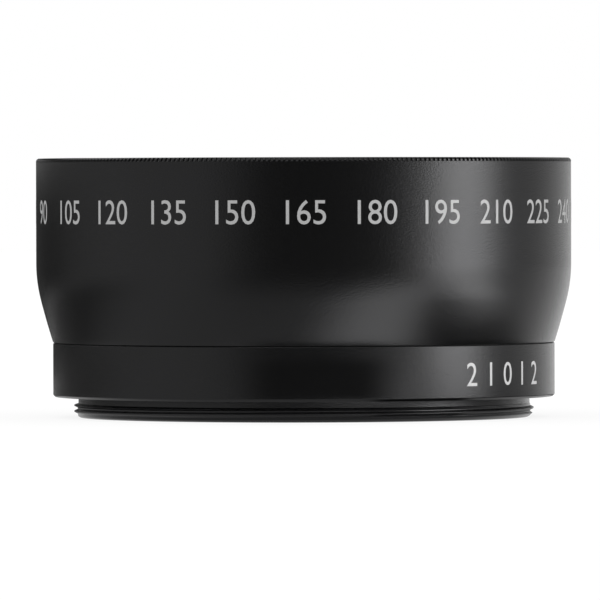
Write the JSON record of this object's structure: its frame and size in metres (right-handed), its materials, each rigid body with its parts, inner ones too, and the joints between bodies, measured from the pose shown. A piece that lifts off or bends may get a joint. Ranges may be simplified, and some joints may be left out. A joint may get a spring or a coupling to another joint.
{
  "type": "wide-angle conversion lens",
  "caption": "Bell-shaped wide-angle conversion lens that unscrews into a wide half with a dished front glass and a ring-shaped macro half with a rear filter thread.",
  "frame": {"origin": "centre of the free end of the rear thread, which is the lowest face", "axes": "+Z along the optical axis, from the camera towards the subject"},
  "size_m": [0.0676, 0.0676, 0.0326],
  "materials": {
    "black_anodised": "matt black anodised",
    "front_glass": "polished and coated",
    "macro_glass": "polished and coated"
  },
  "bodies": {
    "macro_half": {"macro_ring": "black_anodised", "macro_lens": "macro_glass", "macro_lens_ring": "black_anodised"},
    "wide_glass": {"front_lens": "front_glass"},
    "wide_half": {"front_barrel": "black_anodised", "front_ring": "black_anodised"}
  },
  "joints": [
    {"name": "wide_half_lift", "type": "slide", "parent": "macro_half", "child": "wide_glass", "axis": [0, 0, 1], "range_m": [0, 0.0034]},
    {"name": "wide_half_unscrew", "type": "hinge", "parent": "wide_glass", "child": "wide_half", "pos_m": [0, 0, 0.00944], "axis": [0, 0, 1], "range_deg": [0, 1620]}
  ],
  "couplings": [
    {"joint": "wide_half_lift", "follows": "wide_half_unscrew", "m_per_rad": 0.00011937}
  ]
}
